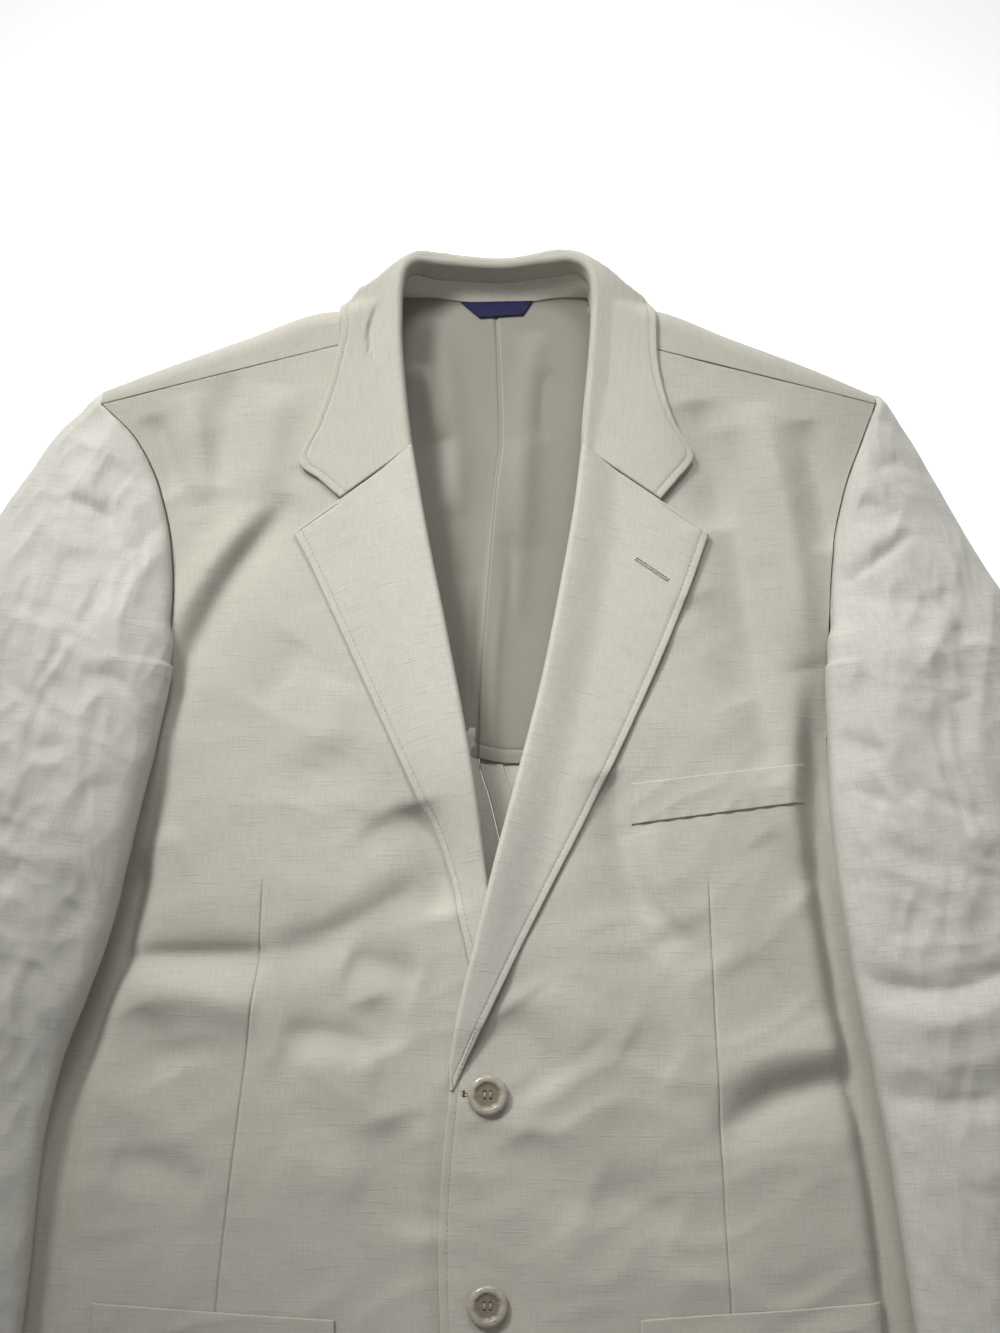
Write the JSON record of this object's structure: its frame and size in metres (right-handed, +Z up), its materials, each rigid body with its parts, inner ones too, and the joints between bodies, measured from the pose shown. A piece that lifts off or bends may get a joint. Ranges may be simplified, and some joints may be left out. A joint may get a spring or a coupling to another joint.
{
  "type": "single breasted blazer",
  "caption": "Tailored jacket buttoned and laid flat on its back, with notched lapels, folded collar, half lining, chest welt, flap pockets and long sleeves laid over its sides.",
  "frame": {"origin": "on the underside of the back panels, where they rest, beside the centre-back seam and at mid height of the garment", "axes": "+X to the wearer's left, +Y from the hem towards the collar, +Z up, away from the surface that the back lies on"},
  "size_m": [0.8308, 0.8191, 0.0547],
  "materials": {
    "linen": "matte light stone linen with a fine slubbed weave",
    "lining": "smooth taupe lining with a soft sheen",
    "label": "dark navy woven label, bare",
    "button": "satin horn-like resin"
  },
  "bodies": {
    "root": {"back_left": "linen", "back_right": "linen", "front_left": "linen", "front_right": "linen", "facing_left": "linen", "facing_right": "linen", "collar": "linen", "collar_stand": "linen", "sleeve_top_left": "linen", "sleeve_top_right": "linen", "sleeve_under_left": "linen", "sleeve_under_right": "linen", "chest_welt": "linen", "pocket_flap_left": "linen", "pocket_flap_right": "linen", "lining": "lining", "label": "label", "button_upper": "button", "button_lower": "button"}
  },
  "joints": []
}
